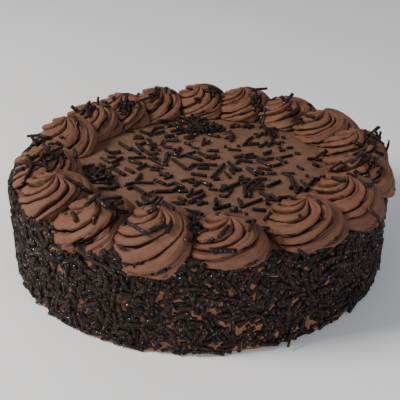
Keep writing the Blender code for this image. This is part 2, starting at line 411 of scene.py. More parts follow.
# Each swirl: the angle of its middle round the cake and the lean of its tip round the cake, in degrees,
# the extra height of its tip in millimetres, its number of bands, the share of its grooves' depth, how far
# it hangs over the edge in millimetres, and how far its bands wind round it in degrees.
SWIRLS = (
    (234, 1.3, 0.0, 6, 1.1, 6, 105),
    (255, 1.5, 2.4, 9, 0.9, 11, 185),
    (277.5, 0.5, -2.6, 8, 1.0, 3, 165),
    (303, 1.0, 0.3, 8, 1.1, 1, 165),
    (325, 1.3, 0.4, 8, 1.1, 7, 165),
    (347, -2.5, 0.4, 7, 1.0, 5, 140),
    (8, -2.0, 0.6, 8, 0.9, 4, 165),
    (30.5, 1.0, -1.8, 8, 1.0, 4, 165),
    (52, 0.0, -2.2, 8, 1.0, 4, 150),
    (72, 0.5, -0.4, 9, 1.0, 4, 165),
    (91, 0.5, 0.0, 8, 1.0, 4, 165),
    (111, -2.0, -0.4, 8, 1.1, 4, 135),
    (126.5, -0.5, 0.0, 8, 1.1, 4, 130),
    (143, -1.0, 0.3, 8, 1.1, 4, 130),
    (162.5, -4.0, 0.0, 7, 1.2, 5, 120),
    (189, 0.0, 0.0, 12, 1.0, 7, 135),
    (210, 1.5, 0.0, 11, 1.1, 8, 125),
)


def geometry_tree(name, inputs):
    """New geometry tree with a geometry output and named inputs of the given kinds, and its two ends."""
    tree = bpy.data.node_groups.new(name, "GeometryNodeTree")
    tree.interface.new_socket(name="Geometry", in_out="INPUT", socket_type="NodeSocketGeometry")
    tree.interface.new_socket(name="Geometry", in_out="OUTPUT", socket_type="NodeSocketGeometry")
    for title, kind in inputs.items():
        tree.interface.new_socket(name=title, in_out="INPUT", socket_type="NodeSocket" + kind)
    return tree, tree.nodes.new("NodeGroupInput"), tree.nodes.new("NodeGroupOutput")


def grow(name, start, tree, values):
    """Plain mesh object that a tree makes from a start mesh, with its named inputs set."""
    carrier = bpy.data.objects.new(name + "_carrier", start)
    bpy.context.scene.collection.objects.link(carrier)
    modifier = carrier.modifiers.new("tree", "NODES")
    modifier.node_group = tree
    for socket in tree.interface.items_tree:
        if socket.in_out == "INPUT" and socket.name in values:
            modifier[socket.identifier] = values[socket.name]
    depsgraph = bpy.context.evaluated_depsgraph_get()
    mesh = bpy.data.meshes.new_from_object(carrier.evaluated_get(depsgraph), depsgraph=depsgraph)
    mesh.name = name
    bpy.data.objects.remove(carrier)
    piece = bpy.data.objects.new(name, mesh)
    bpy.context.scene.collection.objects.link(piece)
    return piece


def vectors(tree, operation, *values):
    """Add a calculation with up to three vectors."""
    return add(tree, "ShaderNodeVectorMath", values, operation=operation)


def drift(tree, here, size, amount, detail=1.0, roughness=0.5):
    """Add a shift that wanders to all sides over a size, by half an amount at most."""
    cloud = clouds(tree, here, 1 / size, detail, roughness)
    centred = vectors(tree, "ADD", cloud.outputs["Color"], (-0.5, -0.5, -0.5))
    return add(tree, "ShaderNodeVectorMath", {0: centred, "Scale": amount}, operation="SCALE")


def draw_curve(tree, value, points):
    """Add a smooth curve through points from 0 to 1, which is read at a value."""
    node = add(tree, "ShaderNodeFloatCurve", {"Value": value})
    curve = node.mapping.curves[0]
    curve.points[0].location = points[0]
    curve.points[1].location = points[-1]
    for point in points[1:-1]:
        curve.points.new(*point)
    node.mapping.update()
    return node


def swirl_tree():
    """Geometry tree of one piped swirl: a grid that is wrapped round the mound's outline, turned as it
    rises, kept between its neighbours, then cut by the grooves and torn a little along their edges."""
    kinds = dict.fromkeys((
        "Angle", "Room before", "Room after", "Lean", "Height",
        "Bands", "Groove depth", "Hang", "Twist", "Seed",
    ), "Float")
    tree, start, end = geometry_tree("piped swirl", {**kinds, "Cream": "Material"})
    given = start.outputs
    grid = add(tree, "GeometryNodeMeshGrid", (1.0, 1.0, SWIRL_COLUMNS + 1, SWIRL_ROWS))
    cell = add(tree, "ShaderNodeSeparateXYZ", (add(tree, "GeometryNodeInputPosition"),))
    turn = maths(tree, "MULTIPLY_ADD", cell.outputs["X"], 2 * math.pi, math.pi)
    level = maths(tree, "ADD", cell.outputs["Y"], 0.5)
    width, height, cut = (
        draw_curve(tree, level, [(row[0], row[column]) for row in SWIRL_OUTLINE])
        for column in (1, 2, 3)
    )

    # Where a point lies across its band: the bands wander a little from an even spacing.
    circle = add(tree, "ShaderNodeCombineXYZ", (
        maths(tree, "COSINE", turn),
        maths(tree, "SINE", turn),
        maths(tree, "MULTIPLY_ADD", level, 1.3, given["Seed"]),
    ))
    wander = clouds(tree, circle, 1.1)
    aside = maths(tree, "MULTIPLY_ADD", wander, BAND_WANDER, -BAND_WANDER / 2)
    waves = clouds(tree, circle, 4.5, 2.0)
    aside = maths(tree, "MULTIPLY_ADD", waves, BAND_WAVES, aside)
    even = maths(tree, "MULTIPLY", turn, given["Bands"])
    even = maths(tree, "DIVIDE", even, 2 * math.pi)
    count = maths(tree, "ADD", even, aside)
    across = maths(tree, "FRACT", count)
    band = maths(tree, "FLOOR", count)
    band = maths(tree, "FLOORED_MODULO", band, given["Bands"])
    section = draw_curve(tree, across, BAND_SECTION)
    seed = add(tree, "FunctionNodeFloatToInt", (given["Seed"],))
    fullness = add(tree, "FunctionNodeRandomValue", {
        2: BAND_FULLNESS[0],
        3: BAND_FULLNESS[1],
        "ID": band,
        "Seed": seed,
    }, data_type="FLOAT")
    out = maths(tree, "MULTIPLY", section, fullness.outputs[1])
    out = maths(tree, "SUBTRACT", out, 1.0)
    # How much painted shade the cream gets in the grooves, kept as the groove attribute: none on the bands,
    # most at the bottom of each groove.
    shade = add(tree, "ShaderNodeMapRange", {0: section, 1: 0.65, 2: 0.15, 3: 0.0, 4: GROOVE_SHADE})
    shade = maths(tree, "MULTIPLY", shade, cut)
    depth = maths(tree, "MULTIPLY", cut, given["Groove depth"])
    relief = maths(tree, "MULTIPLY", out, depth)
    edge = maths(tree, "SUBTRACT", across, BAND_EDGE)
    edge = maths(tree, "ABSOLUTE", edge)
    edge = add(tree, "ShaderNodeMapRange", {0: edge, 1: BAND_EDGE_REACH, 2: 0.0})
    kept = grid
    for name, value in (("relief", relief), ("edge", edge), ("groove", shade)):
        kept = add(tree, "GeometryNodeStoreNamedAttribute", {
            "Geometry": kept,
            "Name": name,
            "Value": value,
        }, data_type="FLOAT")

    # The mound: where the point lies from the swirl's middle, and then round the cake's axis.
    wound = draw_curve(tree, level, TWIST_SPREAD)
    wound = maths(tree, "MULTIPLY", wound, given["Twist"])
    turned = maths(tree, "SUBTRACT", turn, wound)
    turned = maths(tree, "ADD", turned, given["Seed"])
    outward = maths(tree, "COSINE", turned)
    sideways = maths(tree, "SINE", turned)
    lobe = clouds(tree, circle, 0.8)
    lobe = maths(tree, "MULTIPLY_ADD", lobe, LOBE_SWELL, 1 - LOBE_SWELL / 2)
    size = maths(tree, "MULTIPLY", width, lobe)
    low = maths(tree, "SUBTRACT", 1.0, height)
    corner = maths(tree, "MULTIPLY", outward, sideways)
    corner = maths(tree, "MULTIPLY", corner, corner)
    corner = maths(tree, "MULTIPLY", corner, low)
    corner = maths(tree, "MULTIPLY_ADD", corner, SQUARENESS, 1.0)
    size = maths(tree, "MULTIPLY", size, corner)
    outward = maths(tree, "MULTIPLY", outward, size)
    distance = maths(tree, "MULTIPLY_ADD", outward, SWIRL_HALF_DEPTH, RING_RADIUS)
    sideways = maths(tree, "MULTIPLY", sideways, size)
    leaning = maths(tree, "MULTIPLY", height, given["Lean"])
    swing = maths(tree, "MULTIPLY_ADD", sideways, SWIRL_HALF_WIDTH / RING_RADIUS, leaning)
    swing = maths(tree, "SMOOTH_MIN", swing, given["Room after"], ROOM_BLEND)
    swing = maths(tree, "SMOOTH_MAX", swing, given["Room before"], ROOM_BLEND)
    angle = maths(tree, "ADD", swing, given["Angle"])
    beyond = add(tree, "ShaderNodeMapRange", {0: distance, 1: HANG_FROM, 2: HANG_TO}, clamp=False)
    beyond = maths(tree, "MAXIMUM", beyond, 0.0)
    hung = maths(tree, "MULTIPLY", beyond, beyond)
    hung = maths(tree, "MULTIPLY", hung, low)
    hung = maths(tree, "MULTIPLY", hung, given["Hang"])
    flat = maths(tree, "MULTIPLY_ADD", height, given["Height"], SWIRL_FOOT)
    cosine = maths(tree, "COSINE", angle)
    sine = maths(tree, "SINE", angle)
    place = add(tree, "ShaderNodeCombineXYZ", (
        maths(tree, "MULTIPLY", distance, cosine),
        maths(tree, "MULTIPLY", distance, sine),
        maths(tree, "SUBTRACT", flat, hung),
    ))
    place = vectors(tree, "ADD", place, RING_PLACE)
    mound = add(tree, "GeometryNodeSetPosition", {"Geometry": kept, "Position": place})
    mound = add(tree, "GeometryNodeMergeByDistance", {"Geometry": mound, "Distance": 0.00001})

    # The grooves, and lower edges that hang over them, uneven where the cream tore.
    normal = add(tree, "GeometryNodeInputNormal")
    relief = add(tree, "GeometryNodeInputNamedAttribute", {"Name": "relief"}, data_type="FLOAT")
    edge = add(tree, "GeometryNodeInputNamedAttribute", {"Name": "edge"}, data_type="FLOAT")
    here = add(tree, "GeometryNodeInputPosition")
    strength = maths(tree, "MULTIPLY_ADD", edge, EDGE_TEAR, SKIN_TEAR)
    torn = drift(tree, here, TEAR_SIZE, strength, 3.0, 0.7)
    push = add(tree, "ShaderNodeVectorMath", {0: normal, "Scale": relief}, operation="SCALE")
    hang = maths(tree, "MULTIPLY", edge, -EDGE_HANG)
    hang = add(tree, "ShaderNodeCombineXYZ", {"Z": hang})
    push = vectors(tree, "ADD", push, torn)
    push = vectors(tree, "ADD", push, hang)
    moved = vectors(tree, "ADD", here, push)
    moved = vectors(tree, "MAXIMUM", moved, INSIDE_LOW)
    moved = vectors(tree, "MINIMUM", moved, INSIDE_HIGH)
    piped = add(tree, "GeometryNodeSetPosition", {"Geometry": mound, "Position": moved})
    piped = add(tree, "GeometryNodeSetShadeSmooth", {"Geometry": piped})
    piped = add(tree, "GeometryNodeRemoveAttribute", {"Geometry": piped, "Name": "relief"})
    piped = add(tree, "GeometryNodeRemoveAttribute", {"Geometry": piped, "Name": "edge"})
    piped = add(tree, "GeometryNodeRealizeInstances", {"Geometry": piped})
    piped = add(tree, "GeometryNodeSetMaterial", {"Geometry": piped, "Material": given["Cream"]})
    tree.links.new(piped.outputs[0], end.inputs[0])
    return tree


piped_cream = whipped_cream("whipped chocolate cream, piped", CREAM_LIGHT, CREAM_DARK, 0.0052, 0.3)
piping = swirl_tree()
swirls = []
for number, (middle, lean, rise, bands, grooves, hang, twist) in enumerate(SWIRLS):
    before = SWIRLS[number - 1][0]
    after = SWIRLS[(number + 1) % len(SWIRLS)][0]
    swirl = grow(f"piped_swirl_{number + 1:02d}", bpy.data.meshes.new("empty"), piping, {
        "Angle": math.radians(middle),
        "Room before": -math.radians((middle - before) % 360) / 2 - ROOM_SHARED,
        "Room after": math.radians((after - middle) % 360) / 2 + ROOM_SHARED,
        "Lean": math.radians(lean),
        "Height": SWIRL_HEIGHT + rise / 1000,
        "Bands": float(bands),
        "Groove depth": GROOVE_DEPTH * grooves,
        "Hang": hang / 1000,
        "Twist": math.radians(twist),
        "Seed": number * SEED_STEP,
        "Cream": piped_cream,
    })
    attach(swirl, "root")
    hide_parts(f"swirl_{number + 1:02d}")
    swirls.append(swirl)


# The strands are dark chocolate pressed through a die and broken: short straight rods, 2 to 3 mm thick and
# mostly 4 to 13 mm long, with blunt ends and a dry skin that catches small lights on its bumps. A tree
# makes them on points that carry each strand's turn, size and tone.
STRAND_SIDES = 7
STRAND_STEPS = 3
STRAND_KNOBS = 0.00015
KNOB_SIZE = 0.0017
STRAND_BEND = 0.0001
BEND_LENGTH = 0.0065
STRAND_RADIUS = (0.00090, 0.00140)
CHOCOLATE_DARK = "#120A09"
CHOCOLATE_LIGHT = "#2D1E1A"
CRUMB_SIZE = 0.0009
SPOT_SIZE = 0.0012


def strand_chocolate():
    """Dark chocolate as extruded and dried: nearly black brown, matt, with a fine crumbly skin that is
    glossy in small spots."""
    material, output = new_material("dark chocolate strands")
    tree = material.node_tree
    place = add(tree, "ShaderNodeTexCoord").outputs["Object"]
    tone = add(tree, "ShaderNodeAttribute", attribute_name="tone")
    crumb = clouds(tree, place, 1 / CRUMB_SIZE, 4.0, 0.65)
    shade = maths(tree, "MULTIPLY_ADD", crumb, 0.5, tone.outputs["Fac"])
    shade = add(tree, "ShaderNodeMapRange", {0: shade, 1: 0.2, 2: 1.3})
    colour = mix(tree, shade, linear(CHOCOLATE_DARK), linear(CHOCOLATE_LIGHT))
    spots = clouds(tree, place, 1 / SPOT_SIZE)
    glossy = add(tree, "ShaderNodeMapRange", {0: spots, 1: 0.61, 2: 0.67})
    skin = add(tree, "ShaderNodeMapRange", {0: glossy, 3: 0.65, 4: 0.08})
    shine = add(tree, "ShaderNodeMapRange", {0: glossy, 3: 0.15, 4: 0.9})
    bump = add(tree, "ShaderNodeBump", {"Height": crumb, "Distance": 0.0003, "Strength": 0.5})
    shader = add(tree, "ShaderNodeBsdfPrincipled", {
        "Base Color": colour,
        "Roughness": skin,
        "IOR": 1.5,
        "Specular IOR Level": shine,
        "Normal": bump,
    })
    tree.links.new(shader.outputs[0], output.inputs[0])
    return material


def strand_tree():
    """Geometry tree that puts a rod on each point, turned and sized by the point's attributes, then
    bends and knobs the rods a little and keeps their ends inside the cake's outermost size."""
    tree, start, end = geometry_tree("chocolate strands", {
        "Sides": "Int",
        "Steps": "Int",
        "Knobs": "Float",
        "Bend": "Float",
        "Chocolate": "Material",
    })
    given = start.outputs
    rod = add(tree, "GeometryNodeMeshCylinder", {
        "Vertices": given["Sides"],
        "Side Segments": given["Steps"],
        "Radius": 1.0,
        "Depth": 1.0,
    }, fill_type="TRIANGLE_FAN")
    rod = add(tree, "GeometryNodeSetShadeSmooth", {
        "Geometry": rod.outputs["Mesh"],
        "Shade Smooth": rod.outputs["Side"],
    })
    rod = add(tree, "GeometryNodeTransform", {"Geometry": rod, "Rotation": (0.0, math.pi / 2, 0.0)})
    turn = add(tree, "GeometryNodeInputNamedAttribute", {"Name": "turn"}, data_type="FLOAT_VECTOR")
    size = add(tree, "GeometryNodeInputNamedAttribute", {"Name": "size"}, data_type="FLOAT_VECTOR")
    turn = add(tree, "FunctionNodeEulerToRotation", (turn,))
    points = add(tree, "GeometryNodeMeshToPoints", {"Mesh": given["Geometry"]})
    rods = add(tree, "GeometryNodeInstanceOnPoints", {
        "Points": points,
        "Instance": rod,
        "Rotation": turn,
        "Scale": size,
    })
    rods = add(tree, "GeometryNodeRealizeInstances", {"Geometry": rods})
    here = add(tree, "GeometryNodeInputPosition")
    for size, amount in ((BEND_LENGTH, given["Bend"]), (KNOB_SIZE, given["Knobs"])):
        shift = drift(tree, here, size, amount)
        rods = add(tree, "GeometryNodeSetPosition", {"Geometry": rods, "Offset": shift})
    inside = vectors(tree, "MAXIMUM", here, INSIDE_LOW)
    inside = vectors(tree, "MINIMUM", inside, INSIDE_HIGH)
    rods = add(tree, "GeometryNodeSetPosition", {"Geometry": rods, "Position": inside})
    rods = add(tree, "GeometryNodeSetMaterial", {"Geometry": rods, "Material": given["Chocolate"]})
    tree.links.new(rods.outputs[0], end.inputs[0])
    return tree


def strand(draw, middle, along, outward, length, thickness=STRAND_RADIUS):
    """Where one strand lies: its middle, kept inside the cake's outermost size, its turn, its size and
    its tone."""
    along = along.normalized()
    across = outward.cross(along).normalized()
    turn = Matrix((along, across, along.cross(across))).transposed().to_euler()
    radius = draw.uniform(*thickness)
    middle = Vector(
        min(max(value, low + radius), high - radius)
        for value, low, high in zip(middle, INSIDE_LOW, INSIDE_HIGH)
    )
    return middle, turn, (length, radius, radius * draw.uniform(0.8, 1.0)), draw.random()


def lay_strands(name, strands, sides=STRAND_SIDES, steps=STRAND_STEPS):
    """One piece of chocolate strands, from the list of where each one lies."""
    points = bpy.data.meshes.new("points")
    points.from_pydata([middle for middle, turn, size, tone in strands], [], [])
    turns = points.attributes.new("turn", "FLOAT_VECTOR", "POINT")
    turns.data.foreach_set("vector", [value for middle, turn, size, tone in strands for value in turn])
    sizes = points.attributes.new("size", "FLOAT_VECTOR", "POINT")
    sizes.data.foreach_set("vector", [value for middle, turn, size, tone in strands for value in size])
    tones = points.attributes.new("tone", "FLOAT", "POINT")
    tones.data.foreach_set("value", [tone for middle, turn, size, tone in strands])
    piece = grow(name, points, rods, {
        "Sides": sides,
        "Steps": steps,
        "Knobs": STRAND_KNOBS,
        "Bend": STRAND_BEND,
        "Chocolate": chocolate,
    })
    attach(piece, "root")
    return piece


chocolate = strand_chocolate()
rods = strand_tree()


# The side is dressed with strands by the handful while the cream is soft, so they lie flat on it in every
# direction, side by side up to the feet of the swirls, and leave small bare patches. Long ones, the broken
# short ones that fill the gaps between them, and those that lie over both are three pieces.
SIDE_BAND = (0.0006, 0.0600)
SIDE_CELL = 0.0014
SIDE_SHARED = 0.15
SIDE_RADIUS = (0.00110, 0.00155)
SIDE_TILT = math.radians(4)
BARE_GRAIN = 0.006
BARE_LEVEL = 0.36
# Each kind: how many are thrown, their lengths, how far they lie off the cream, their layer and a seed.
SIDE_STRANDS = (
    ("side_strands_long", 6500, (0.0070, 0.0125), (-0.0002, 0.0006), 0, 11),
    ("side_strands_short", 12000, (0.0035, 0.0070), (-0.0003, 0.0005), 0, 23),
    ("side_strands_over", 2600, (0.0060, 0.0130), (0.0008, 0.0016), 1, 37),
)


def thrown(tries, lengths, lifts, taken, seed):
    """Strands thrown at the side: each sticks flat where its place in the layer is still free, unless
    the cream stays bare there."""
    draw = random.Random(seed)
    strands = []
    for attempt in range(tries):
        angle = draw.uniform(0, 2 * math.pi)
        length = draw.uniform(*lengths)
        lie = draw.uniform(0, math.pi)
        reach = length / 2 * math.sin(lie)
        height = draw.uniform(SIDE_BAND[0] + reach, SIDE_BAND[1] - reach)
        middle = around(COAT_RADIUS + draw.uniform(*lifts), angle, height)
        steps = round(length / SIDE_CELL)
        spots = set()
        for step in range(steps + 1):
            off = length * (step / steps - 0.5)
            spots.add((
                round((angle * COAT_RADIUS + off * math.cos(lie)) / SIDE_CELL),
                round((height + off * math.sin(lie)) / SIDE_CELL),
            ))
        if noise.noise(middle / BARE_GRAIN) > BARE_LEVEL or len(spots & taken) > SIDE_SHARED * len(spots):
            continue
        taken |= spots
        outward = around(1.0, angle)
        flat = around(math.cos(lie), angle + math.pi / 2, math.sin(lie))
        tilt = draw.uniform(-SIDE_TILT, SIDE_TILT)
        along = flat * math.cos(tilt) + outward * math.sin(tilt)
        strands.append(strand(draw, middle + CAKE_PLACE, along, outward, length, SIDE_RADIUS))
    return strands


layers = (set(), set())
for name, tries, lengths, lifts, layer, seed in SIDE_STRANDS:
    lay_strands(name, thrown(tries, lengths, lifts, layers[layer], seed))


# More strands lie over the rounded top edge, between the side and the feet of the swirls, and a few long
# ones hang over those on the side. They are the same loose dark chocolate.
GOLDEN_ANGLE = math.pi * (3 - math.sqrt(5))
EDGE_STRANDS = 520
EDGE_BENDS = (0.1, 1.25)
EDGE_LIFTS = (-0.0002, 0.0012)
EDGE_LENGTHS = (0.0045, 0.0115)
EDGE_TURN = 0.6
SUNK = 0.0005
LONGEST = 0.022
OVER_SIDE = 0.0012
# How far a lying strand may reach in depth, in lengths that show, and the least slope that lifts it fully.
DEEPEST = 2.0
STEEPEST = 0.35
# The two ends of the plainest strands on the side, in pixels from the left and the top of the picture.
SEEN_ON_SIDE = (
    (294, 320, 288, 347), (299, 250, 312, 262), (303, 256, 310, 268), (301.7, 270.7, 310.3, 296.6),
    (200.8, 284.4, 217, 272.6), (196.9, 278, 204.6, 265.3), (177.8, 280.6, 186.7, 278),
    (88.9, 259.7, 115.7, 271.2), (300, 262, 318, 255), (322, 262, 340, 256), (286, 262, 292, 256),
    (330, 268, 345, 262), (120, 275, 128, 290), (64, 262, 80, 258),
)


def edge_strands(count, seed):
    """Strands that lie over the rounded top edge, between the side and the feet of the swirls."""
    draw = random.Random(seed)
    strands = []
    for number in range(count):
        angle = number * GOLDEN_ANGLE
        bend = draw.uniform(*EDGE_BENDS)
        outward = around(math.cos(bend), angle, math.sin(bend))
        upward = around(-math.sin(bend), angle, math.cos(bend))
        lie = draw.gauss(0, EDGE_TURN)
        along = around(1.0, angle + math.pi / 2) * math.cos(lie) + upward * math.sin(lie)
        middle = around(COAT_RADIUS - COAT_EDGE, angle, COAT_HEIGHT - COAT_EDGE) + CAKE_PLACE
        middle += outward * (COAT_EDGE + draw.uniform(*EDGE_LIFTS))
        length = draw.uniform(*EDGE_LENGTHS)
        strands.append(strand(draw, middle, along, outward, length, SIDE_RADIUS))
    return strands


def sight(across, down):
    """The way from the camera to a place in the picture, in pixels, for one metre of depth."""
    way = Vector((across - VIEW_MIDDLE[0], VIEW_MIDDLE[1] - down, -FOCAL_PIXELS)) / FOCAL_PIXELS
    way.rotate(camera.rotation_euler)
    return way


def depth_at(across, down):
    """How deep the cream lies at a place in the picture and its slope there, or None where none is seen."""
    way = sight(across, down)
    hits = [surface.ray_cast(camera.location, way.normalized()) for surface in surfaces]
    depths = [(hit[3] / way.length, hit[1]) for hit in hits if hit[0]]
    return min(depths, key=lambda depth: depth[0], default=None)


def lying(draw, x0, y0, x1, y1, lift=0.0):
    """A strand that the camera sees from one place in the picture to another, on the cream there."""
    places = [(x0 + (x1 - x0) * share, y0 + (y1 - y0) * share) for share in (0, 0.25, 0.5, 0.75, 1)]
    found = [depth_at(*place) for place in places]
    if not any(found):
        return None
    near = min(hit[0] for hit in found if hit)
    far = near + DEEPEST * near * (sight(x1, y1) - sight(x0, y0)).length
    first, *between, last = [
        camera.location + sight(*place) * (min(hit[0], far) if hit else near)
        for place, hit in zip(places, found)
    ]
    slope = sum((hit[1] for hit in found if hit), Vector((0, 0, 0)))
    slope = slope - slope.project(last - first)
    slope.normalize()
    centre = (first + last) / 2
    rise = max(0.0, *((point - centre).dot(slope) for point in between))
    rise += STRAND_RADIUS[1] - SUNK + lift
    way = sight(*places[2])
    centre -= way * rise / max(-slope.dot(way), STEEPEST)
    return strand(draw, centre, last - first, slope, min((last - first).length, LONGEST))


surfaces = [BVHTree.FromObject(thing, bpy.context.evaluated_depsgraph_get()) for thing in [coat, *swirls]]
draw = random.Random(31)
over = edge_strands(EDGE_STRANDS, 31) + [lying(draw, *ends, OVER_SIDE) for ends in SEEN_ON_SIDE]
lay_strands("edge_strands", over)


# The strands on the top were let fall from a hand: most lie flat on the cream, and some lie in heaps over
# one another, the thickest at the back and beside the swirls on the left.
TOP_REACH = 0.0800
TOP_LENGTHS = (0.0050, 0.0125)
TOP_LIFTS = (-0.0002, 0.0005)
PILE_HEIGHT = 0.0022
PILE_TILT = 0.268
FALLEN_LIFT = 0.0007
# Heaps: angle in degrees, distance from the axis, radius of the heap and number of strands.
HEAPS = (
    (92, 0.063, 0.018, 70),
    (196, 0.072, 0.014, 24),
    (240, 0.074, 0.012, 6),
    (262, 0.076, 0.012, 7),
    (285, 0.076, 0.012, 7),
    (310, 0.076, 0.012, 6),
)
